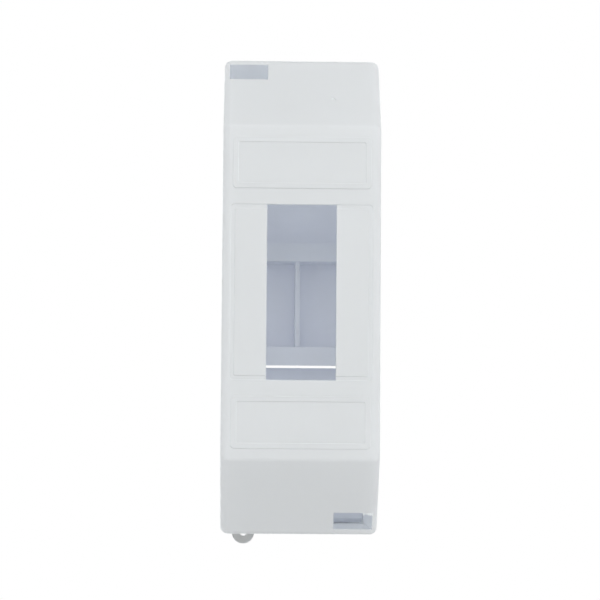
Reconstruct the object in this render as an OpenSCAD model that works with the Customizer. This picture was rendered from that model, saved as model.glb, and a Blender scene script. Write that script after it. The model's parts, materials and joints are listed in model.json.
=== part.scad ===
// Surface-mounting breaker box: a base with a moulded 35 mm rail, and a clip-on cover with a
// one-module window whose side strips tear out for a second module.
// Built lying on its back (x across, y up the wall, z out of the wall), then turned upright, so
// the back face is y = 0 and the front looks along -Y. Millimetres.

/* [Case] */
// Width across the side walls
box_w = 41.6; // [40:0.1:60]
// Height between the end walls
box_h = 127; // [122:0.5:180]
// Depth from the wall to the flat front
box_d = 60; // [56:1:75]
// Depth of the end walls, where the slopes stop
end_d = 47; // [36:0.5:50]
// Height of the flat front between the slopes
face_h = 87.5; // [84:0.1:100]
// Thickness of the cover's walls
wall = 1.3; // [1.1:0.1:2.4]
// Radius of the case's outer edges and corners
edge_r = 2; // [1.6:0.1:3]

/* [Window] */
// Width of the one-module window
window_w = 18.2; // [17.6:0.1:20]
// Height of the window
window_h = 46; // [45:0.1:48]
// Width of the opening once both strips are torn out
tear_w = 37.2; // [36:0.1:38]
// Width of the tear-out groove
groove_w = 1.1; // [0.8:0.1:1.6]
// Depth of that groove on the front, where it marks the line
mark_depth = 0.25; // [0.15:0.05:0.3]
// Plastic left under a groove
web_t = 0.5; // [0.4:0.1:0.9]

/* [Label frames] */
// Width of a label frame
label_w = 36.3; // [20:0.1:37]
// Height of a label frame
label_h = 13.6; // [8:0.1:16]
// Distance from the middle of the front to a frame's middle
label_y = 34; // [32:0.1:36]
// Width of the raised rim
label_rim = 1.4; // [0.8:0.1:2]
// Height of the raised rim
label_relief = 0.25; // [0.1:0.05:0.5]

/* [Latches] */
// Width of a latch slot
slot_w = 10.3; // [8:0.1:12]
// Height of a latch slot, seen from the front
slot_h = 4.5; // [4.2:0.1:6]
// How far a catch stands out of the end wall
catch_reach = 1.3; // [0.8:0.1:1.8]
// Height of a catch's holding face above the wall
catch_z = 12; // [10:0.5:18]
// Thickness of a latch arm
arm_t = 1.6; // [1.2:0.1:2]
// How far an arm's hook reaches over its catch
hook_bite = 0.85; // [0.5:0.05:1.2]
// Height of an arm's hook
hook_h = 3; // [2:0.1:4]
// Thickness of the gussets at an arm's foot
gusset_t = 1.2; // [0.8:0.1:1.6]
// How far the gussets run out from an arm
gusset_run = 3.5; // [2:0.5:5]
// Height of the gussets
gusset_h = 5.5; // [3:0.5:8]

/* [Base] */
// Thickness of the back plate
plate_t = 2; // [1.6:0.1:3]
// Thickness of the rim that locates the cover
rim_t = 1.2; // [1:0.1:1.8]
// Height of that rim above the plate
rim_h = 5; // [3:0.5:6]
// Distance between the two wall screws
screw_pitch = 88; // [84:1:96]
// Diameter of a wall-screw hole
screw_d = 4.5; // [3.5:0.1:5.5]
// Diameter of the boss under a screw's head
boss_d = 10; // [8:0.5:12]
// Height of that boss above the plate
boss_h = 1.5; // [1:0.1:2.5]

/* [Rail] */
// Width across the rail's lips
rail_w = 35; // [34.5:0.1:35.5]
// Width of the channel between the lips
channel_w = 24.4; // [24:0.1:26]
// Height of the rail's front above the wall
rail_z = 12.5; // [11:0.5:16]
// Thickness of the lips
lip_t = 1.5; // [1:0.1:2]
// Thickness of the walls that carry the lips
web_wall = 1.5; // [1.2:0.1:1.8]
// Thickness of the centre rib
rib_t = 1.35; // [1:0.05:2]
// How far the centre rib stays below the lips' front
rib_drop = 1; // [0.5:0.1:2]
// How far a core-out slot shows past its lip
core_past = 0.4; // [0.3:0.1:1.2]
// Depth of the breaker behind the cover, from the rail to its shoulders
device_d = 44; // [42:0.5:46]

/* [Knock-outs] */
// Width of a cable knock-out in an end wall
entry_w = 14; // [10:0.5:16]
// Height of a cable knock-out
entry_h = 14; // [12:0.5:18]
// Distance of a cable knock-out from the middle of its end wall
entry_x = 4; // [3:0.5:6]
// Diameter of a cable knock-out in the back plate
back_entry_d = 14; // [8:0.5:15]

/* [Sealing eye] */
// Outer radius of the eye
eye_r = 3.2; // [2.8:0.1:4]
// Diameter of the hole for the seal wire
eye_d = 2; // [1.6:0.1:3]
// Distance from the bottom end wall to the hole's middle
eye_out = 1.8; // [1.6:0.1:3.5]
// Thickness of each half of the eye
eye_t = 1.5; // [1.2:0.1:1.6]
// Distance from the case's side to the eye
eye_side = 2.6; // [1:0.1:3]

/* [Cover's inside] */
// Thickness of the ribs behind the label frames
shoulder_t = 1; // [0.8:0.1:1.5]
// Distance from the middle to the nearer ribs
shoulder_near = 27.5; // [26:0.5:30]
// Distance from the middle to the farther ribs
shoulder_far = 38; // [33:0.5:40]
// Distance from these ribs' ends to the side walls
shoulder_end = 3; // [1:0.5:6]

/* [Clearances] */
// Between the rim and the inside of the cover
rim_gap = 0.2; // [0.15:0.05:0.4]
// Between an arm and its catch, each way
latch_gap = 0.25; // [0.15:0.05:0.4]
// Between a latch slot and the side wall
slot_side = 0.1; // [0.1:0.05:0.5]
// Between a latch slot and the end wall
slot_end = 0.1; // [0.1:0.05:0.4]
// Between a latch slot's ends and the catch behind it
catch_side = 0.4; // [0.2:0.1:1]
// Between a latch slot's ends and the arm behind it
arm_side = 0.8; // [0.5:0.1:1.5]
// Between the ribs behind the labels and a breaker's shoulders
shoulder_gap = 0.4; // [0.2:0.1:1]

/* [Show] */

/* [Hidden] */
$fn = 64;
hull_fn = 32;
plastic = [0.86, 0.88, 0.89];
slope_a = atan2(box_d - end_d, (box_h - face_h) / 2);
inner_w = box_w - 2 * wall;
inner_h = box_h - 2 * wall;
rim_w = inner_w - 2 * rim_gap;
rim_len = inner_h - 2 * rim_gap;
groove_depth = wall - web_t;
groove_r = 1;
least_r = 0.4;
gate_r = 0.6;
gate_depth = 0.25;
// Pieces of one moulding are sunk this far into each other.
root = 0.5;
// A latch slot lies in the corner between a side wall and an end wall.
slot_x = slot_w / 2 - inner_w / 2 + slot_side;
arm_w = slot_w - 2 * arm_side;
arm_y = inner_h / 2 - catch_reach - latch_gap;
hook_z = catch_z + latch_gap;
hook_tip = arm_y + latch_gap + min(hook_bite, catch_reach - latch_gap);
hook_nose = hook_h / 5;
catch_nose = 0.8;
catch_ramp = 1.3 * catch_reach;
eye_x = eye_r + eye_side - box_w / 2;
shoulder_h = max(wall / 2, box_d - wall - rail_z - device_d - shoulder_gap);
core_y = channel_w / 2 + web_wall;
core_h = rail_w / 2 + core_past - core_y;

module upright() {
  rotate([90, 0, 0])
    children();
}

// The latches, slots, catches and knock-outs repeat after half a turn about the middle of the front.
module both_ends() {
  for (turn = [0, 180])
    rotate([0, 0, turn])
      children();
}

module rounded_rect(w, h, r) {
  square([w, h - 2 * r], center = true);
  square([w - 2 * r, h], center = true);
  for (sx = [-1, 1], sy = [-1, 1])
    translate([sx * (w / 2 - r), sy * (h / 2 - r)])
      circle(r);
}

module ring(w, h, r, band) {
  difference() {
    rounded_rect(w, h, r);
    rounded_rect(w - 2 * band, h - 2 * band, max(r - band / 2, least_r));
  }
}

// A ball whose facets touch its box on all sides.
module ball(r) {
  rotate_extrude()
    intersection() {
      circle(r);
      translate([0, -r])
        square([r, 2 * r]);
    }
}

// The case's outside, or its inside when inset by the wall, as the skin over its rounded corners.
module case_shape(inset, from_z) {
  $fn = hull_fn;
  r = max(edge_r - inset, least_r);
  in = inset + r;
  crease_y = face_h / 2 - in * tan(slope_a / 2);
  end_y = box_h / 2 - in;
  end_z = box_d - (in + (end_y - face_h / 2) * sin(slope_a)) / cos(slope_a);
  hull()
    for (sx = [-1, 1], sy = [-1, 1]) {
      translate([sx * (box_w / 2 - in), sy * crease_y, box_d - in])
        ball(r);
      translate([sx * (box_w / 2 - in), sy * end_y, end_z])
        ball(r);
      translate([sx * (box_w / 2 - in), sy * end_y, from_z])
        cylinder(h = end_z - from_z, r = r);
    }
}

module window() {
  translate([0, 0, box_d - 2 * wall])
    linear_extrude(3 * wall)
      square([window_w, window_h], center = true);
}

// The line round both tear-out strips, marked on the front and thinned from behind.
// Its outer edge is the two-module opening.
module tear_groove() {
  translate([0, 0, box_d - mark_depth])
    linear_extrude(wall)
      ring(tear_w, window_h, groove_r, groove_w);
  translate([0, 0, box_d - mark_depth - web_t - wall])
    linear_extrude(wall)
      ring(tear_w, window_h, groove_r, groove_w);
}

module label_frame() {
  translate([0, 0, box_d - wall / 2])
    linear_extrude(wall / 2 + label_relief)
      ring(label_w, label_h, groove_r, label_rim);
}

// The slot lets the mould form the catch behind it, and a blade reach the latch arm.
module latch_slot() {
  translate([slot_x - slot_w / 2, inner_h / 2 - slot_end - slot_h, hook_z + 2 * hook_h])
    cube([slot_w, slot_h, box_d]);
}

module catch() {
  edge = inner_h / 2;
  tip = edge - catch_reach;
  translate([slot_x, 0, 0])
    rotate([90, 0, 90])
      linear_extrude(slot_w - 2 * catch_side, center = true)
        polygon([
          [edge + wall / 2, catch_z],
          [tip, catch_z],
          [tip, catch_z - catch_nose],
          [edge, catch_z - catch_nose - catch_ramp],
          [edge + wall / 2, catch_z - catch_nose - catch_ramp]
        ]);
}

module entry_outline(inset) {
  r = entry_w / 2 - inset;
  translate([-r, -wall])
    square([2 * r, entry_h - entry_w / 2 + wall]);
  translate([0, entry_h - entry_w / 2])
    circle(r);
}

// A cable entry that is thinned all round, to be broken out of the end wall.
module entry_groove() {
  translate([entry_x, box_h / 2 + wall, plate_t])
    rotate([90, 0, 0])
      linear_extrude(groove_depth + wall)
        difference() {
          entry_outline(0);
          entry_outline(groove_w);
        }
}

// Ribs behind the label frames that keep a breaker's shoulders from rattling.
module shoulder_ribs() {
  for (side = [-1, 1], y = [shoulder_near, shoulder_far])
    translate([0, side * y, box_d - wall - shoulder_h / 2 + root / 2])
      cube([inner_w - 2 * shoulder_end, shoulder_t, shoulder_h + root], center = true);
}

// The witness of the moulding gate on the upper slope.
module gate_mark() {
  run = (box_h - face_h) / 2 / cos(slope_a);
  translate([box_w / 5, face_h / 2, box_d])
    rotate([-slope_a, 0, 0])
      translate([0, 0.4 * run, -gate_depth])
        cylinder(h = wall, r = gate_r);
}

module eye(from_z) {
  translate([eye_x, -box_h / 2 - eye_out, from_z])
    linear_extrude(eye_t)
      difference() {
        union() {
          circle(eye_r);
          translate([-eye_r, 0])
            square([2 * eye_r, eye_out + wall / 2]);
        }
        circle(d = eye_d);
      }
}

module cover() {
  color(plastic)
    upright()
      difference() {
        union() {
          difference() {
            case_shape(0, plate_t);
            case_shape(wall, plate_t - 1);
          }
          for (side = [-1, 1])
            translate([0, side * label_y, 0])
              label_frame();
          both_ends()
            catch();
          shoulder_ribs();
          eye(plate_t);
        }
        window();
        tear_groove();
        both_ends() {
          latch_slot();
          entry_groove();
        }
        gate_mark();
      }
}

module rim() {
  difference() {
    translate([0, 0, plate_t - root])
      linear_extrude(rim_h + root)
        ring(rim_w, rim_len, max(edge_r - wall - rim_gap, least_r), rim_t);
    both_ends() {
      translate([slot_x - slot_w / 2, rim_len / 2 - 2 * rim_t, plate_t])
        cube([slot_w, 4 * rim_t, 2 * rim_h]);
      translate([entry_x - entry_w / 2, rim_len / 2 - 2 * rim_t, plate_t])
        cube([entry_w, 4 * rim_t, 2 * rim_h]);
    }
  }
}

// One wall and lip of the moulded rail. The lip's underside is open for a breaker's foot.
module rail_half() {
  translate([-rim_w / 2, channel_w / 2, plate_t - root])
    cube([rim_w, web_wall, rail_z - plate_t + root]);
  translate([-rim_w / 2, channel_w / 2, rail_z - lip_t])
    cube([rim_w, (rail_w - channel_w) / 2, lip_t]);
}

// The slot through the plate where the mould formed the underside of a lip.
module core_out() {
  run = rim_w - 4 * rim_t;
  translate([-run / 2, core_y, -plate_t])
    cube([run, core_h, 3 * plate_t]);
}

module centre_rib() {
  translate([-rib_t / 2, -channel_w / 2 - root, plate_t - root])
    cube([rib_t, channel_w + 2 * root, rail_z - rib_drop - plate_t + root]);
}

module latch_arm() {
  back = arm_y - arm_t;
  translate([slot_x, 0, 0])
    rotate([90, 0, 90]) {
      linear_extrude(arm_w, center = true)
        polygon([
          [back, plate_t - root],
          [arm_y, plate_t - root],
          [arm_y, hook_z],
          [hook_tip, hook_z],
          [hook_tip, hook_z + hook_nose],
          [arm_y, hook_z + hook_h],
          [back, hook_z + hook_h]
        ]);
      for (side = [-1, 1])
        translate([0, 0, side * (arm_w / 2 - gusset_t)])
          linear_extrude(gusset_t, center = true)
            polygon([
              [back - gusset_run, plate_t - root],
              [back + root, plate_t - root],
              [back + root, plate_t + gusset_h],
              [back - gusset_run, plate_t]
            ]);
    }
}

module screw_boss() {
  translate([0, screw_pitch / 2, plate_t - root])
    cylinder(h = boss_h + root, d = boss_d);
}

module screw_hole() {
  translate([0, screw_pitch / 2, -plate_t])
    cylinder(h = 3 * plate_t + boss_h, d = screw_d);
}

// A round cable entry thinned from behind, between a rail lip and a screw boss.
module back_entry_groove() {
  mid_y = (core_y + core_h + (screw_pitch - boss_d) / 2) / 2;
  translate([0, mid_y, -web_t])
    linear_extrude(plate_t)
      difference() {
        circle(d = back_entry_d + 2 * groove_w);
        circle(d = back_entry_d);
      }
}

module base() {
  color(plastic)
    upright()
      difference() {
        union() {
          linear_extrude(plate_t)
            rounded_rect(box_w, box_h, edge_r);
          rim();
          both_ends() {
            rail_half();
            latch_arm();
            screw_boss();
          }
          centre_rib();
          eye(plate_t - eye_t);
        }
        both_ends() {
          core_out();
          screw_hole();
          back_entry_groove();
        }
      }
}

base();
cover();
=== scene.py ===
"""Dresses the breaker box.

Two softened mouldings of satin white plastic, the flash left at a latch slot, the ejector marks
inside, and a plain white studio seen from the photograph's place.
"""

import json
import math

import bmesh
import bpy
from bpy.props import FloatProperty, FloatVectorProperty, IntProperty, PointerProperty
from mathutils import Matrix, Vector
from mathutils.bvhtree import BVHTree
from mathutils.geometry import intersect_point_line
from mathutils.kdtree import KDTree


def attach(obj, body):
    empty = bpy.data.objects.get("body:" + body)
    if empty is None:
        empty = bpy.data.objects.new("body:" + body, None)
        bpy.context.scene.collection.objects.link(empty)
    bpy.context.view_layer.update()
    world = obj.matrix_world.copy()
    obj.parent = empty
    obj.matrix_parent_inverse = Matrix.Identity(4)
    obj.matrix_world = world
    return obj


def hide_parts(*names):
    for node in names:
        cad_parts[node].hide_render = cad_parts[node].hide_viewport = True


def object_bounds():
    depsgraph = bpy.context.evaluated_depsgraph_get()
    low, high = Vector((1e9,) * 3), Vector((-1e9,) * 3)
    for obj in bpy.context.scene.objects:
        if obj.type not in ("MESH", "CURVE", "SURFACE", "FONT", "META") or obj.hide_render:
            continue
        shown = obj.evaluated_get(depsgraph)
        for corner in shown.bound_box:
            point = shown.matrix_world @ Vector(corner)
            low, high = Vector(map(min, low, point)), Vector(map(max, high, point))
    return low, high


bl_info = {
    "name": "Breaker Box",
    "version": (1, 0, 0),
    "blender": (4, 5, 0),
    "location": "3D View > Sidebar > Breaker Box",
    "description": "Dresses a moulded breaker box in satin white plastic, in a white studio",
    "category": "Object",
}

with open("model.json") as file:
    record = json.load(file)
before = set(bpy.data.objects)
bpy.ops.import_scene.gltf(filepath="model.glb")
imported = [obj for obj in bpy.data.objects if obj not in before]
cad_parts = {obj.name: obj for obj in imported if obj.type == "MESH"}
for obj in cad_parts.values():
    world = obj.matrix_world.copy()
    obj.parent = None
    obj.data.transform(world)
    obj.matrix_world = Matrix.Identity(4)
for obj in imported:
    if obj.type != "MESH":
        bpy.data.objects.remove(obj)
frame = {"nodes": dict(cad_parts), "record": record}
CAD_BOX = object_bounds()
INTO_BOX = Vector((0, 1, 0))
OUT_OF_BOX = Vector((0, -1, 0))
RIGHT = Vector((1, 0, 0))
UP = Vector((0, 0, 1))

# The picture and the studio. WORLD_SEEN and FLOOR_LIFT say how white the world is, and how much
# lighter than by the lamps alone the floor is, to each kind of ray. Inside the pale box light
# needs many bounces.
FRAME_PIXELS = 600
SENSOR_WIDTH_MM = 36
CAMERA_NEAR = 0.01
WHITE = (1, 1, 1, 1)
WORLD_SEEN = {"Is Camera Ray": 1.0, "Is Glossy Ray": 1.0, "Is Transmission Ray": 1.0}
FLOOR_LIFT = {"Is Camera Ray": 0.6, "Is Glossy Ray": 0.6, "Is Transmission Ray": 0.6}
FLOOR_ROUGHNESS = 0.9
LIGHT_BOUNCES = 24

# The noises of the plastic's surface, and how far its roughness follows the flow.
GRAIN_DETAIL = 2.0
GRAIN_ROUGHNESS = 0.55
FLOW_DETAIL = 3.0
FLOW_DISTORTION = 0.6
NOISE_MIDDLE = 0.5
GLOSS_SWING = 0.25

# The rounding of edges. Two edges lie beside each other where less than the share BESIDE of the
# gap between them runs along the edge. FACE_TRIFLE is twice the area, in square metres, below
# which a turned face doesn't count.
ROUND_PROFILE = 0.5
ROUND_TRIES = 6
SAMPLES_IN_ROOM = 3
BESIDE = 0.8
FACE_TRIFLE = 1e-12

# The flash: a sliver's form, its radii as shares of its width, and the least and most of its scale
# and of its turn in radians. SLOT_MARGIN is how far from the slot's edge the rays that look for it
# start.
SLIVER_SIDES = 8
SLIVER_RINGS = 2
ROOT_SHARE = 0.5
TIP_SHARE = 0.3
SLIVER_SCALE = (0.6, 1.0, 0.2), (1.2, 1.0, 1.0)
SLIVER_TURN = (-0.7, -0.4, -0.3), (-0.2, 0.4, 0.3)
SLOT_MARGIN = 0.001

# The ejector marks on each moulding. Each is sunk as deep as it stands out.
MARK_COLUMNS = 2
MARK_ROWS = 2
MARK_SIDES = 48
MARK_DEPTH_IN_STANDS = 2.0


class MouldingSettings(bpy.types.PropertyGroup):
    """How the two mouldings' edges are finished."""

    edge_round: FloatProperty(
        name="Edge round",
        description="Width of the rounding on a moulded edge",
        default=0.00011,
        min=0.00002,
        max=0.0004,
        precision=5,
        unit="LENGTH",
    )
    edge_steps: IntProperty(
        name="Edge steps",
        description="Faces across one rounded edge",
        default=2,
        min=1,
        max=4,
    )
    edge_room: FloatProperty(
        name="Edge room",
        description="An edge that passes another one closer than this stays sharp",
        default=0.00022,
        min=0.0001,
        max=0.001,
        precision=5,
        unit="LENGTH",
    )
    edge_angle: FloatProperty(
        name="Edge angle",
        description="Least turn between two faces that counts as an edge",
        default=math.radians(32),
        subtype="ANGLE",
    )
    flat_angle: FloatProperty(
        name="Flat angle",
        description="Most turn between two faces that still counts as one flat face",
        default=math.radians(0.4),
        subtype="ANGLE",
    )
    merge_gap: FloatProperty(
        name="Merge gap",
        description="Points closer than this are one point",
        default=0.000002,
        precision=6,
        unit="LENGTH",
    )


class PlasticSettings(bpy.types.PropertyGroup):
    """The plastic's colours and surface."""

    cover_colour: FloatVectorProperty(
        name="Cover colour",
        description="The cover's cool white",
        subtype="COLOR",
        size=4,
        default=(0.864, 0.880, 0.862, 1),
        min=0,
        max=1,
    )
    base_colour: FloatVectorProperty(
        name="Base colour",
        description="The base's slightly bluer white",
        subtype="COLOR",
        size=4,
        default=(0.845, 0.86, 0.895, 1),
        min=0,
        max=1,
    )
    roughness: FloatProperty(
        name="Roughness",
        description="Middle roughness of the satin surface",
        default=0.46,
        min=0,
        max=1,
        subtype="FACTOR",
    )
    cover_through: FloatProperty(
        name="Light through the cover",
        description="Share of the light that passes the cover's skin and lights the inside",
        default=0.3,
        min=0,
        max=0.6,
        subtype="FACTOR",
    )
    base_through: FloatProperty(
        name="Light through the base",
        description="Share of the light that passes the base's skin",
        default=0.15,
        min=0,
        max=0.6,
        subtype="FACTOR",
    )
    through_colour: FloatVectorProperty(
        name="Colour let through",
        description="Colour of that light",
        subtype="COLOR",
        size=4,
        default=(0.90, 0.91, 0.965, 1),
        min=0,
        max=1,
    )
    grain_size: FloatProperty(
        name="Grain size",
        description="Size of one grain of the eroded mould texture",
        default=0.0004,
        precision=5,
        unit="LENGTH",
    )
    grain_depth: FloatProperty(
        name="Grain depth",
        description="Depth of that texture",
        default=0.000006,
        precision=6,
        unit="LENGTH",
    )
    flow_size: FloatProperty(
        name="Flow size",
        description="Size of the soft patches where the plastic flowed",
        default=0.022,
        unit="LENGTH",
    )
    flow_share: FloatProperty(
        name="Flow share",
        description="How much those patches change the colour",
        default=0.03,
        min=0,
        max=0.2,
        subtype="FACTOR",
    )


class FlashSettings(bpy.types.PropertyGroup):
    """The torn flash left at the outer end of the lower latch slot."""

    slivers: IntProperty(
        name="Slivers",
        description="Number of slivers of flash",
        default=9,
        min=2,
    )
    length: FloatProperty(
        name="Length",
        description="Length of the longest sliver",
        default=0.00105,
        precision=5,
        unit="LENGTH",
    )
    width: FloatProperty(
        name="Width",
        description="Width of a sliver where it leaves the edge",
        default=0.00055,
        precision=5,
        unit="LENGTH",
    )
    thickness: FloatProperty(
        name="Thickness",
        description="Thickness of a sliver and of the thin strip that carries it",
        default=0.00014,
        precision=5,
        unit="LENGTH",
    )
    run: FloatProperty(
        name="Run",
        description="Length of slot edge that carries flash",
        default=0.0024,
        precision=4,
        unit="LENGTH",
    )
    back: FloatProperty(
        name="Set back",
        description="How far behind the cover's face the flash hangs",
        default=0.00002,
        precision=5,
        unit="LENGTH",
    )
    seed: IntProperty(
        name="Seed",
        description="Picks the slivers' lengths and turns",
        default=26,
    )


class EjectorSettings(bpy.types.PropertyGroup):
    """The round marks that the mould's ejector pins leave inside both mouldings."""

    radius: FloatProperty(
        name="Radius",
        description="Radius of an ejector mark",
        default=0.0016,
        precision=4,
        unit="LENGTH",
    )
    stand: FloatProperty(
        name="Stand",
        description="How far a mark stands out of the wall",
        default=0.00006,
        precision=5,
        unit="LENGTH",
    )
    across: FloatProperty(
        name="Across",
        description="Distance between the two columns of marks",
        default=0.027,
        unit="LENGTH",
    )
    base_along: FloatProperty(
        name="Along the base",
        description="Distance between the highest and the lowest marks on the base",
        default=0.100,
        unit="LENGTH",
    )
    cover_along: FloatProperty(
        name="Along the cover",
        description="Distance between the highest and the lowest marks inside the cover",
        default=0.066,
        unit="LENGTH",
    )


class StudioSettings(bpy.types.PropertyGroup):
    """The floor, the lights and the camera."""

    floor_drop: FloatProperty(
        name="Floor drop",
        description="Distance from the box's lowest point to the floor",
        default=0.13,
        unit="LENGTH",
    )
    floor_width: FloatProperty(
        name="Floor width",
        description="Width of the square floor",
        default=2.4,
        unit="LENGTH",
    )
    floor_colour: FloatVectorProperty(
        name="Floor colour",
        description="Pale floor",
        subtype="COLOR",
        size=4,
        default=(0.86, 0.86, 0.86, 1),
        min=0,
        max=1,
    )
    fill: FloatProperty(
        name="Fill",
        description="Strength of the even light from all round",
        default=0.0,
        min=0,
    )
    key_power: FloatProperty(
        name="Key power",
        description="Power of the soft light in front, up to the right",
        default=19.4,
        min=0,
        unit="POWER",
    )
    key_size: FloatProperty(
        name="Key size",
        description="Width of that square light",
        default=1.6,
        unit="LENGTH",
    )
    key_place: FloatVectorProperty(
        name="Key place",
        description="Where that light stands",
        default=(0.18, -1.25, 0.88),
        subtype="TRANSLATION",
        unit="LENGTH",
    )
    left_power: FloatProperty(
        name="Left panel power",
        description="Power of the soft panel on the left",
        default=10.4,
        min=0,
        unit="POWER",
    )
    right_power: FloatProperty(
        name="Right panel power",
        description="Power of the soft panel on the right",
        default=9.2,
        min=0,
        unit="POWER",
    )
    back_power: FloatProperty(
        name="Back panel power",
        description="Power of the soft panel behind the box",
        default=18.6,
        min=0,
        unit="POWER",
    )
    panel_size: FloatProperty(
        name="Panel size",
        description="Width of such a square panel",
        default=1.6,
        unit="LENGTH",
    )
    panel_away: FloatProperty(
        name="Panel distance",
        description="Distance from the box to each panel",
        default=1.5,
        unit="LENGTH",
    )
    panel_lift: FloatProperty(
        name="Panel lift",
        description="Height of the panels' middles above the box's",
        default=0.35,
        unit="LENGTH",
    )
    camera_place: FloatVectorProperty(
        name="Camera place",
        description="Where the camera stands",
        default=(-0.01201, -0.55993, -0.03663),
        subtype="TRANSLATION",
        unit="LENGTH",
    )
    camera_pitch: FloatProperty(
        name="Camera pitch",
        description="How far the camera looks up",
        default=math.radians(3.950),
        subtype="ANGLE",
    )
    camera_turn: FloatProperty(
        name="Camera turn",
        description="How far the camera looks to the right",
        default=math.radians(1.333),
        subtype="ANGLE",
    )
    camera_roll: FloatProperty(
        name="Camera roll",
        description="How far the camera leans",
        default=math.radians(0.410),
        subtype="ANGLE",
    )
    focal_pixels: FloatProperty(
        name="Focal length in pixels",
        description="Focal length measured in pixels of the square picture",
        default=1922.2,
        min=100,
    )


class BreakerBoxSettings(bpy.types.PropertyGroup):
    """Everything that a user would change on the breaker box."""

    moulding: PointerProperty(type=MouldingSettings)
    plastic: PointerProperty(type=PlasticSettings)
    flash: PointerProperty(type=FlashSettings)
    ejector: PointerProperty(type=EjectorSettings)
    studio: PointerProperty(type=StudioSettings)


def settings():
    """The values in the sidebar."""
    return bpy.context.scene.breaker_box


def link(tree, from_socket, to_socket):
    """Joins two sockets of a node tree."""
    tree.links.new(from_socket, to_socket)


def add_node(tree, kind, **values):
    """A node of that kind, with those settings."""
    made = tree.nodes.new(kind)
    for name, value in values.items():
        setattr(made, name, value)
    return made


def add_sockets(tree, in_out, sockets):
    """Gives a node tree those named sockets on its outside."""
    for label, kind in sockets:
        tree.interface.new_socket(label, in_out=in_out, socket_type=kind)


def times(tree, value, factor):
    """A value in a node tree, multiplied by that factor."""
    product = add_node(tree, "ShaderNodeMath", operation="MULTIPLY")
    link(tree, value, product.inputs[0])
    product.inputs[1].default_value = factor
    return product.outputs[0]


def new_piece(name, data):
    """An object in the scene, at the origin."""
    piece = bpy.data.objects.new(name, data)
    bpy.context.scene.collection.objects.link(piece)
    return piece


def bake_modifiers(piece):
    """Turns what a piece's modifiers make into its plain mesh."""
    depsgraph = bpy.context.evaluated_depsgraph_get()
    made = bpy.data.meshes.new_from_object(
        piece.evaluated_get(depsgraph), preserve_all_data_layers=True, depsgraph=depsgraph
    )
    raw = piece.data
    piece.modifiers.clear()
    piece.data = made
    bpy.data.meshes.remove(raw)
    made.name = piece.name


def plastic_surface_group():
    """Varying tint, roughness and height of moulded plastic, shared by both mouldings."""
    name = "moulded_surface"
    if name in bpy.data.node_groups:
        return bpy.data.node_groups[name]
    group = bpy.data.node_groups.new(name, "ShaderNodeTree")
    add_sockets(group, "INPUT", (
        ("Colour", "NodeSocketColor"),
        ("Grains per metre", "NodeSocketFloat"),
        ("Flow per metre", "NodeSocketFloat"),
        ("Flow share", "NodeSocketFloat"),
        ("Roughness", "NodeSocketFloat"),
    ))
    add_sockets(group, "OUTPUT", (
        ("Tint", "NodeSocketColor"),
        ("Roughness", "NodeSocketFloat"),
        ("Height", "NodeSocketFloat"),
    ))
    given = add_node(group, "NodeGroupInput")
    result = add_node(group, "NodeGroupOutput")
    place = add_node(group, "ShaderNodeTexCoord")

    grain = add_node(group, "ShaderNodeTexNoise")
    grain.inputs["Detail"].default_value = GRAIN_DETAIL
    grain.inputs["Roughness"].default_value = GRAIN_ROUGHNESS
    link(group, place.outputs["Object"], grain.inputs["Vector"])
    link(group, given.outputs["Grains per metre"], grain.inputs["Scale"])

    flow = add_node(group, "ShaderNodeTexNoise")
    flow.inputs["Detail"].default_value = FLOW_DETAIL
    flow.inputs["Distortion"].default_value = FLOW_DISTORTION
    link(group, place.outputs["Object"], flow.inputs["Vector"])
    link(group, given.outputs["Flow per metre"], flow.inputs["Scale"])

    centred = add_node(group, "ShaderNodeMath", operation="SUBTRACT")
    link(group, flow.outputs["Fac"], centred.inputs[0])
    centred.inputs[1].default_value = NOISE_MIDDLE
    swing = add_node(group, "ShaderNodeMath", operation="MULTIPLY_ADD")
    link(group, centred.outputs[0], swing.inputs[0])
    link(group, given.outputs["Flow share"], swing.inputs[1])
    swing.inputs[2].default_value = 1.0
    tint = add_node(group, "ShaderNodeVectorMath", operation="SCALE")
    link(group, given.outputs["Colour"], tint.inputs["Vector"])
    link(group, swing.outputs[0], tint.inputs["Scale"])
    link(group, tint.outputs["Vector"], result.inputs["Tint"])

    gloss = add_node(group, "ShaderNodeMath", operation="MULTIPLY_ADD")
    link(group, centred.outputs[0], gloss.inputs[0])
    gloss.inputs[1].default_value = GLOSS_SWING
    link(group, given.outputs["Roughness"], gloss.inputs[2])
    link(group, gloss.outputs[0], result.inputs["Roughness"])
    link(group, grain.outputs["Fac"], result.inputs["Height"])
    return group


def plastic_material(name, colour, through_share):
    """Satin moulded plastic of that colour, which lets that share of the light through."""
    given = settings().plastic
    made = bpy.data.materials.new(name)
    made.use_nodes = True
    tree = made.node_tree
    shader = tree.nodes["Principled BSDF"]
    surface = add_node(tree, "ShaderNodeGroup", node_tree=plastic_surface_group())
    surface.inputs["Colour"].default_value = colour
    surface.inputs["Grains per metre"].default_value = 1 / given.grain_size
    surface.inputs["Flow per metre"].default_value = 1 / given.flow_size
    surface.inputs["Flow share"].default_value = given.flow_share
    surface.inputs["Roughness"].default_value = given.roughness
    bump = add_node(tree, "ShaderNodeBump")
    bump.inputs["Strength"].default_value = 1.0
    bump.inputs["Distance"].default_value = given.grain_depth
    link(tree, surface.outputs["Height"], bump.inputs["Height"])
    link(tree, surface.outputs["Tint"], shader.inputs["Base Color"])
    link(tree, surface.outputs["Roughness"], shader.inputs["Roughness"])
    link(tree, bump.outputs["Normal"], shader.inputs["Normal"])

    through = add_node(tree, "ShaderNodeBsdfTranslucent")
    through.inputs["Color"].default_value = given.through_colour
    mix = add_node(tree, "ShaderNodeMixShader")
    mix.inputs["Fac"].default_value = through_share
    link(tree, shader.outputs[0], mix.inputs[1])
    link(tree, through.outputs[0], mix.inputs[2])
    link(tree, mix.outputs[0], tree.nodes["Material Output"].inputs["Surface"])
    return made


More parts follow.
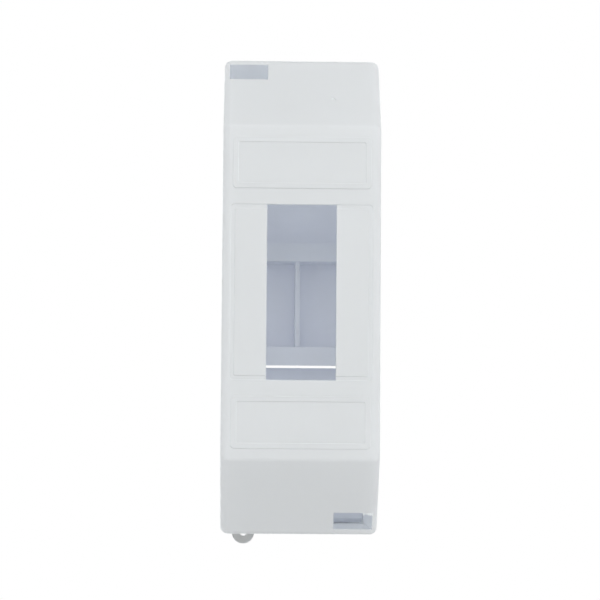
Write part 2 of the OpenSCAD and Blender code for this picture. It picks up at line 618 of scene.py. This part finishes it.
def plastic(body):
    """The one plastic of a body, made when it is first asked for."""
    name = body + "_plastic_satin"
    if name in bpy.data.materials:
        return bpy.data.materials[name]
    given = settings().plastic
    return plastic_material(
        name, getattr(given, body + "_colour"), getattr(given, body + "_through")
    )


def tight_edges(edges, room):
    """Those of the edges that run beside one that they don't meet, closer than that room."""
    samples = []
    for edge in edges:
        start, end = (corner.co for corner in edge.verts)
        count = 1 + math.ceil((end - start).length / room * SAMPLES_IN_ROOM)
        samples += [(start.lerp(end, part / count), edge) for part in range(count + 1)]
    places = KDTree(len(samples))
    for index, (place, _) in enumerate(samples):
        places.insert(place, index)
    places.balance()
    tight = set()
    for place, edge in samples:
        along = (edge.verts[1].co - edge.verts[0].co).normalized()
        for found, index, gap in places.find_range(place, room):
            apart = not set(edge.verts) & set(samples[index][1].verts)
            beside = abs((found - place).dot(along)) < BESIDE * gap
            if apart and beside:
                tight.add(edge)
    return tight


def flat_copy(node):
    """A merged copy of a CAD node with its flat faces made whole."""
    given = settings().moulding
    work = bmesh.new()
    work.from_mesh(frame["nodes"][node].data)
    bmesh.ops.remove_doubles(work, verts=work.verts, dist=given.merge_gap)
    bmesh.ops.dissolve_limit(
        work, angle_limit=given.flat_angle, verts=work.verts, edges=work.edges
    )
    return work


def turned_corners(work, surface):
    """Corners of the faces that look the other way than the surface they lie on."""
    found = []
    for loops in work.calc_loop_triangles():
        corners = [loop.vert.co.copy() for loop in loops]
        twice_area = (corners[1] - corners[0]).cross(corners[2] - corners[0])
        middle = sum(corners, Vector()) / 3
        if twice_area.dot(surface.find_nearest(middle)[1]) < -FACE_TRIFLE:
            found += corners
    return found


def passes_near(edge, places, room):
    """Whether an edge passes one of the places closer than that room."""
    start, end = (corner.co for corner in edge.verts)
    for place in places:
        share = intersect_point_line(place, start, end)[1]
        if (start.lerp(end, min(max(share, 0), 1)) - place).length < room:
            return True
    return False


def sharp_edges(work):
    """The edges where two faces turn away from each other enough to show."""
    least = settings().moulding.edge_angle
    return [edge for edge in work.edges if edge.calc_face_angle(0) > least]


def keep_sharp(edges):
    """Marks edges that aren't rounded, so that no shading runs across them."""
    for edge in edges:
        edge.smooth = False


def round_edges(work, spoilt):
    """Rounds the sharp edges that have room, apart from those that pass a spoilt place."""
    given = settings().moulding
    sharp = sharp_edges(work)
    left = tight_edges(sharp, given.edge_room)
    left |= {edge for edge in sharp if passes_near(edge, spoilt, given.edge_room)}
    keep_sharp(left)
    bmesh.ops.bevel(
        work,
        geom=[edge for edge in sharp if edge not in left],
        offset=given.edge_round,
        segments=given.edge_steps,
        profile=ROUND_PROFILE,
        affect="EDGES",
        clamp_overlap=False,
    )
    bmesh.ops.remove_doubles(work, verts=work.verts, dist=given.merge_gap)


def sort_faces(work):
    """Puts the faces in an order that is the same each run, that of their first edges."""
    work.verts.index_update()
    count = len(work.verts)
    work.faces.sort(key=lambda face: face.verts[0].index * count + face.verts[1].index)


def soft_moulding(node, name, finish):
    """A CAD node's moulding with rounded edges, none of which turns a face over."""
    work = flat_copy(node)
    surface = BVHTree.FromBMesh(work)
    spoilt = []
    for _ in range(ROUND_TRIES):
        round_edges(work, spoilt)
        turned = turned_corners(work, surface)
        if not turned:
            break
        spoilt += turned
        work.free()
        work = flat_copy(node)
    else:
        # No try was clean, so the moulding keeps its plain edges.
        keep_sharp(sharp_edges(work))
    sort_faces(work)
    for face in work.faces:
        face.smooth = True
        face.material_index = 0
    mesh = bpy.data.meshes.new(name)
    work.to_mesh(mesh)
    work.free()
    mesh.materials.clear()
    mesh.materials.append(finish)
    piece = new_piece(name, mesh)
    flat = piece.modifiers.new("flat_faces", "WEIGHTED_NORMAL")
    flat.keep_sharp = True
    bake_modifiers(piece)
    return piece


class BREAKERBOX_OT_cover(bpy.types.Operator):
    """Make the cover moulding"""

    bl_idname = "breakerbox.cover"
    bl_label = "Cover"

    def execute(self, context):
        piece = soft_moulding("cover", "cover_moulding", plastic("cover"))
        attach(piece, "cover")
        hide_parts("cover")
        return {"FINISHED"}


class BREAKERBOX_OT_base(bpy.types.Operator):
    """Make the base moulding"""

    bl_idname = "breakerbox.base"
    bl_label = "Base"

    def execute(self, context):
        piece = soft_moulding("base", "base_moulding", plastic("base"))
        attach(piece, "base")
        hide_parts("base")
        return {"FINISHED"}


def geometry_tree(name, inputs):
    """An empty geometry tree with those named inputs, and its two end nodes."""
    tree = bpy.data.node_groups.new(name, "GeometryNodeTree")
    add_sockets(tree, "INPUT", inputs)
    add_sockets(tree, "OUTPUT", (("Geometry", "NodeSocketGeometry"),))
    return tree, add_node(tree, "NodeGroupInput"), add_node(tree, "NodeGroupOutput")


def end_tree(tree, made, finish, result):
    """Turns what a tree made into plain faces of one finish."""
    real = add_node(tree, "GeometryNodeRealizeInstances")
    painted = add_node(tree, "GeometryNodeSetMaterial")
    link(tree, made, real.inputs["Geometry"])
    link(tree, real.outputs["Geometry"], painted.inputs["Geometry"])
    link(tree, finish, painted.inputs["Material"])
    link(tree, painted.outputs["Geometry"], result.inputs["Geometry"])


def grown_piece(name, tree, values):
    """A plain mesh of what a geometry tree makes with those values."""
    piece = new_piece(name, bpy.data.meshes.new(name))
    grower = piece.modifiers.new(name, "NODES")
    grower.node_group = tree
    for item in tree.interface.items_tree:
        if item.in_out == "INPUT":
            grower[item.identifier] = values[item.name]
    bake_modifiers(piece)
    # The nodes that make the first meshes bring an empty slot with them.
    if not piece.data.materials[0]:
        piece.data.materials.pop(index=0)
    return piece


def random_vector(tree, limits, seed):
    """A vector between two limits, drawn for each point."""
    drawn = add_node(tree, "FunctionNodeRandomValue", data_type="FLOAT_VECTOR")
    drawn.inputs["Min"].default_value, drawn.inputs["Max"].default_value = limits
    link(tree, seed, drawn.inputs["Seed"])
    return drawn.outputs["Value"]


def flash_tree():
    """Thin torn slivers that hang from a thin strip between two points."""
    tree, given, result = geometry_tree("slot_flash", (
        ("Start", "NodeSocketVector"),
        ("End", "NodeSocketVector"),
        ("Slivers", "NodeSocketInt"),
        ("Length", "NodeSocketFloat"),
        ("Width", "NodeSocketFloat"),
        ("Thickness", "NodeSocketFloat"),
        ("Seed", "NodeSocketInt"),
        ("Finish", "NodeSocketMaterial"),
    ))
    line = add_node(tree, "GeometryNodeCurvePrimitiveLine")
    link(tree, given.outputs["Start"], line.inputs["Start"])
    link(tree, given.outputs["End"], line.inputs["End"])

    profile = add_node(tree, "GeometryNodeCurvePrimitiveQuadrilateral")
    link(tree, given.outputs["Thickness"], profile.inputs["Width"])
    link(tree, given.outputs["Thickness"], profile.inputs["Height"])
    strip = add_node(tree, "GeometryNodeCurveToMesh")
    strip.inputs["Fill Caps"].default_value = True
    link(tree, line.outputs["Curve"], strip.inputs["Curve"])
    link(tree, profile.outputs["Curve"], strip.inputs["Profile Curve"])

    root = times(tree, given.outputs["Width"], ROOT_SHARE)
    tip = times(tree, given.outputs["Width"], TIP_SHARE)
    thin = add_node(tree, "ShaderNodeMath", operation="DIVIDE")
    link(tree, given.outputs["Thickness"], thin.inputs[0])
    link(tree, given.outputs["Width"], thin.inputs[1])
    shape = add_node(tree, "ShaderNodeCombineXYZ")
    shape.inputs["X"].default_value = 1.0
    link(tree, thin.outputs[0], shape.inputs["Y"])
    shape.inputs["Z"].default_value = 1.0
    sliver = add_node(tree, "GeometryNodeMeshCone")
    sliver.inputs["Vertices"].default_value = SLIVER_SIDES
    sliver.inputs["Side Segments"].default_value = SLIVER_RINGS
    link(tree, root, sliver.inputs["Radius Bottom"])
    link(tree, tip, sliver.inputs["Radius Top"])
    link(tree, given.outputs["Length"], sliver.inputs["Depth"])
    hung = add_node(tree, "GeometryNodeTransform")
    hung.inputs["Rotation"].default_value = (math.pi, 0, 0)
    link(tree, sliver.outputs["Mesh"], hung.inputs["Geometry"])
    link(tree, shape.outputs["Vector"], hung.inputs["Scale"])

    roots = add_node(tree, "GeometryNodeCurveToPoints", mode="COUNT")
    link(tree, line.outputs["Curve"], roots.inputs["Curve"])
    link(tree, given.outputs["Slivers"], roots.inputs["Count"])
    size = random_vector(tree, SLIVER_SCALE, given.outputs["Seed"])
    turn = random_vector(tree, SLIVER_TURN, given.outputs["Seed"])
    torn = add_node(tree, "GeometryNodeInstanceOnPoints")
    link(tree, roots.outputs["Points"], torn.inputs["Points"])
    link(tree, hung.outputs["Geometry"], torn.inputs["Instance"])
    link(tree, turn, torn.inputs["Rotation"])
    link(tree, size, torn.inputs["Scale"])

    both = add_node(tree, "GeometryNodeJoinGeometry")
    link(tree, strip.outputs["Mesh"], both.inputs["Geometry"])
    link(tree, torn.outputs["Instances"], both.inputs["Geometry"])
    end_tree(tree, both.outputs["Geometry"], given.outputs["Finish"], result)
    return tree


def cover_hit(start, direction):
    """Where a ray meets the cover moulding."""
    cover = bpy.data.objects["cover_moulding"]
    depsgraph = bpy.context.evaluated_depsgraph_get()
    met, place, _, _ = cover.ray_cast(start, direction, depsgraph=depsgraph)
    if not met:
        raise RuntimeError("the ray that looks for the latch slot's edge misses the cover")
    return place


def slot_corner(back):
    """The outer end of the lower latch slot's upper edge, so far behind the cover's face."""
    spaces = frame["record"]["physics"]["openings"]
    low, high = next(space["box_m"] for space in spaces if space["name"] == "lower_latch_slot")
    middle = (Vector(low) + Vector(high)) / 2
    near, far = (
        cover_hit(Vector((middle.x, CAD_BOX[0].y, high[2] + rise)), INTO_BOX)
        for rise in (SLOT_MARGIN, 2 * SLOT_MARGIN)
    )
    face = 2 * near.y - far.y
    inside = face + SLOT_MARGIN / 2
    edge = cover_hit(Vector((middle.x, inside, middle.z)), UP)
    end = cover_hit(Vector((middle.x, inside, edge.z - SLOT_MARGIN / 2)), RIGHT)
    return Vector((end.x, face + back, edge.z))


class BREAKERBOX_OT_slot_flash(bpy.types.Operator):
    """Grow the torn flash at the end of the lower latch slot"""

    bl_idname = "breakerbox.slot_flash"
    bl_label = "Slot flash"

    def execute(self, context):
        given = settings().flash
        end = slot_corner(given.back)
        piece = grown_piece("slot_flash", flash_tree(), {
            "Start": end - given.run * RIGHT,
            "End": end,
            "Slivers": given.slivers,
            "Length": given.length,
            "Width": given.width,
            "Thickness": given.thickness,
            "Seed": given.seed,
            "Finish": plastic("cover"),
        })
        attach(piece, "cover")
        return {"FINISHED"}


def ejector_tree():
    """Low round marks on a moulding, set out on a grid of rays that look for its wall."""
    tree, given, result = geometry_tree("ejector_marks", (
        ("Moulding", "NodeSocketObject"),
        ("Across", "NodeSocketFloat"),
        ("Along", "NodeSocketFloat"),
        ("From", "NodeSocketVector"),
        ("Towards", "NodeSocketVector"),
        ("Radius", "NodeSocketFloat"),
        ("Stand", "NodeSocketFloat"),
        ("Finish", "NodeSocketMaterial"),
    ))
    grid = add_node(tree, "GeometryNodeMeshGrid")
    grid.inputs["Vertices X"].default_value = MARK_COLUMNS
    grid.inputs["Vertices Y"].default_value = MARK_ROWS
    link(tree, given.outputs["Across"], grid.inputs["Size X"])
    link(tree, given.outputs["Along"], grid.inputs["Size Y"])
    upright = add_node(tree, "GeometryNodeTransform")
    upright.inputs["Rotation"].default_value = (math.pi / 2, 0, 0)
    link(tree, grid.outputs["Mesh"], upright.inputs["Geometry"])
    link(tree, given.outputs["From"], upright.inputs["Translation"])

    moulding = add_node(tree, "GeometryNodeObjectInfo")
    link(tree, given.outputs["Moulding"], moulding.inputs["Object"])
    ray = add_node(tree, "GeometryNodeRaycast")
    link(tree, moulding.outputs["Geometry"], ray.inputs["Target Geometry"])
    link(tree, given.outputs["Towards"], ray.inputs["Ray Direction"])
    seated = add_node(tree, "GeometryNodeSetPosition")
    link(tree, upright.outputs["Geometry"], seated.inputs["Geometry"])
    link(tree, ray.outputs["Is Hit"], seated.inputs["Selection"])
    link(tree, ray.outputs["Hit Position"], seated.inputs["Position"])

    rim = add_node(tree, "ShaderNodeMath", operation="SUBTRACT")
    link(tree, given.outputs["Radius"], rim.inputs[0])
    link(tree, given.outputs["Stand"], rim.inputs[1])
    depth = times(tree, given.outputs["Stand"], MARK_DEPTH_IN_STANDS)
    sunk = add_node(tree, "ShaderNodeVectorMath", operation="SCALE")
    sunk.inputs["Vector"].default_value = (0, 0, -1)
    link(tree, given.outputs["Stand"], sunk.inputs["Scale"])
    mark = add_node(tree, "GeometryNodeMeshCone")
    mark.inputs["Vertices"].default_value = MARK_SIDES
    link(tree, rim.outputs[0], mark.inputs["Radius Top"])
    link(tree, given.outputs["Radius"], mark.inputs["Radius Bottom"])
    link(tree, depth, mark.inputs["Depth"])
    rooted = add_node(tree, "GeometryNodeTransform")
    link(tree, mark.outputs["Mesh"], rooted.inputs["Geometry"])
    link(tree, sunk.outputs["Vector"], rooted.inputs["Translation"])

    outwards = add_node(tree, "ShaderNodeVectorMath", operation="SCALE")
    outwards.inputs["Scale"].default_value = -1.0
    link(tree, given.outputs["Towards"], outwards.inputs["Vector"])
    facing = add_node(tree, "FunctionNodeAlignRotationToVector", axis="Z")
    link(tree, outwards.outputs["Vector"], facing.inputs["Vector"])
    marks = add_node(tree, "GeometryNodeInstanceOnPoints")
    link(tree, seated.outputs["Geometry"], marks.inputs["Points"])
    link(tree, rooted.outputs["Geometry"], marks.inputs["Instance"])
    link(tree, facing.outputs["Rotation"], marks.inputs["Rotation"])
    end_tree(tree, marks.outputs["Instances"], given.outputs["Finish"], result)
    return tree


class BREAKERBOX_OT_ejector_marks(bpy.types.Operator):
    """Set the ejector marks inside both mouldings"""

    bl_idname = "breakerbox.ejector_marks"
    bl_label = "Ejector marks"

    def execute(self, context):
        given = settings().ejector
        tree = ejector_tree()
        inside = Vector((0, (CAD_BOX[0].y + CAD_BOX[1].y) / 2, 0))
        for body, along, towards in (
            ("base", given.base_along, INTO_BOX),
            ("cover", given.cover_along, OUT_OF_BOX),
        ):
            piece = grown_piece(body + "_ejector_marks", tree, {
                "Moulding": bpy.data.objects[body + "_moulding"],
                "Across": given.across,
                "Along": along,
                "From": inside,
                "Towards": towards,
                "Radius": given.radius,
                "Stand": given.stand,
                "Finish": plastic(body),
            })
            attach(piece, body)
        return {"FINISHED"}


def seen_sum(tree, shares):
    """The sum of those shares of the Light Path's ray kinds."""
    path = add_node(tree, "ShaderNodeLightPath")
    total = None
    for kind, share in shares.items():
        part = add_node(tree, "ShaderNodeMath", operation="MULTIPLY_ADD")
        link(tree, path.outputs[kind], part.inputs[0])
        part.inputs[1].default_value = share
        part.inputs[2].default_value = 0.0
        if total:
            link(tree, total, part.inputs[2])
        total = part.outputs[0]
    return total


def studio_world(fill):
    """Even light of that strength, white where it is seen."""
    world = bpy.data.worlds.new("studio")
    bpy.context.scene.world = world
    world.use_nodes = True
    tree = world.node_tree
    tree.nodes.clear()
    light = add_node(tree, "ShaderNodeBackground")
    light.inputs["Strength"].default_value = fill
    white = add_node(tree, "ShaderNodeBackground")
    white.inputs["Strength"].default_value = 1.0
    for shade in (light, white):
        shade.inputs["Color"].default_value = WHITE
    mix = add_node(tree, "ShaderNodeMixShader")
    out = add_node(tree, "ShaderNodeOutputWorld")
    link(tree, seen_sum(tree, WORLD_SEEN), mix.inputs["Fac"])
    link(tree, light.outputs[0], mix.inputs[1])
    link(tree, white.outputs[0], mix.inputs[2])
    link(tree, mix.outputs[0], out.inputs["Surface"])


def floor_material(colour):
    """Pale floor that keeps the shadow, lifted to white where it is seen in full light."""
    made = bpy.data.materials.new("pale_floor")
    made.use_nodes = True
    tree = made.node_tree
    shader = tree.nodes["Principled BSDF"]
    shader.inputs["Base Color"].default_value = colour
    shader.inputs["Roughness"].default_value = FLOOR_ROUGHNESS
    shader.inputs["Emission Color"].default_value = WHITE
    link(tree, seen_sum(tree, FLOOR_LIFT), shader.inputs["Emission Strength"])
    return made


def soft_light(name, place, power, size):
    """A square light that looks at the middle of the box."""
    lamp = bpy.data.lights.new(name, "AREA")
    lamp.energy = power
    lamp.size = size
    light = new_piece(name, lamp)
    light.location = place
    light.rotation_mode = "QUATERNION"
    light.rotation_quaternion = (-Vector(place)).to_track_quat("-Z", "Y")


def floor_mesh(width, level):
    """A square at that level."""
    half = width / 2
    mesh = bpy.data.meshes.new("floor")
    around = ((-half, -half), (half, -half), (half, half), (-half, half))
    mesh.from_pydata([(x, y, level) for x, y in around], [], [(0, 1, 2, 3)])
    return mesh


def photo_camera(given):
    """A camera at the photograph's place, with its frame."""
    lens = bpy.data.cameras.new("camera")
    lens.sensor_width = SENSOR_WIDTH_MM
    lens.lens = given.focal_pixels / FRAME_PIXELS * SENSOR_WIDTH_MM
    lens.clip_start = CAMERA_NEAR
    camera = new_piece("camera", lens)
    turn = Matrix.Rotation(-given.camera_turn, 4, "Z")
    pitch = Matrix.Rotation(math.pi / 2 + given.camera_pitch, 4, "X")
    roll = Matrix.Rotation(given.camera_roll, 4, "Z")
    camera.matrix_world = Matrix.Translation(given.camera_place) @ turn @ pitch @ roll
    return camera


class BREAKERBOX_OT_stage(bpy.types.Operator):
    """Make the floor, the lights and the camera"""

    bl_idname = "breakerbox.stage"
    bl_label = "Stage"

    def execute(self, context):
        given = settings().studio
        scene = context.scene
        scene.view_settings.view_transform = "Standard"
        scene.cycles.max_bounces = LIGHT_BOUNCES
        scene.cycles.diffuse_bounces = LIGHT_BOUNCES

        mesh = floor_mesh(given.floor_width, CAD_BOX[0].z - given.floor_drop)
        mesh.materials.append(floor_material(given.floor_colour))
        new_piece("floor", mesh)

        studio_world(given.fill)
        soft_light("key", given.key_place, given.key_power, given.key_size)
        away, up = given.panel_away, given.panel_lift
        for name, place, power in (
            ("left_panel", (-away, 0, up), given.left_power),
            ("right_panel", (away, 0, up), given.right_power),
            ("back_panel", (0, away, up), given.back_power),
        ):
            soft_light(name, place, power, given.panel_size)

        scene.camera = photo_camera(given)
        return {"FINISHED"}


class BREAKERBOX_PT_sidebar(bpy.types.Panel):
    """Lists the pieces, the stage and their settings"""

    bl_idname = "BREAKERBOX_PT_sidebar"
    bl_label = "Breaker Box"
    bl_space_type = "VIEW_3D"
    bl_region_type = "UI"
    bl_category = "Breaker Box"

    def draw(self, context):
        for operator in OPERATORS:
            self.layout.operator(operator.bl_idname)
        for part in BreakerBoxSettings.__annotations__:
            group = getattr(settings(), part)
            column = self.layout.column(heading=part.capitalize())
            for name in group.bl_rna.properties.keys():
                if name not in ("rna_type", "name"):
                    column.prop(group, name)


SETTINGS = (
    MouldingSettings,
    PlasticSettings,
    FlashSettings,
    EjectorSettings,
    StudioSettings,
    BreakerBoxSettings,
)
OPERATORS = (
    BREAKERBOX_OT_stage,
    BREAKERBOX_OT_base,
    BREAKERBOX_OT_cover,
    BREAKERBOX_OT_slot_flash,
    BREAKERBOX_OT_ejector_marks,
)
CLASSES = SETTINGS + OPERATORS + (BREAKERBOX_PT_sidebar,)


def register():
    """Makes the settings, the operators and the sidebar known to Blender."""
    for each in CLASSES:
        bpy.utils.register_class(each)
    bpy.types.Scene.breaker_box = PointerProperty(type=BreakerBoxSettings)


def unregister():
    """Takes them out again."""
    del bpy.types.Scene.breaker_box
    for each in reversed(CLASSES):
        bpy.utils.unregister_class(each)


def main():
    """Dresses the part: the stage, both mouldings, the slot flash and the ejector marks."""
    register()
    bpy.ops.breakerbox.stage()
    bpy.ops.breakerbox.base()
    bpy.ops.breakerbox.cover()
    bpy.ops.breakerbox.slot_flash()
    bpy.ops.breakerbox.ejector_marks()


if __name__ == "__main__":
    main()
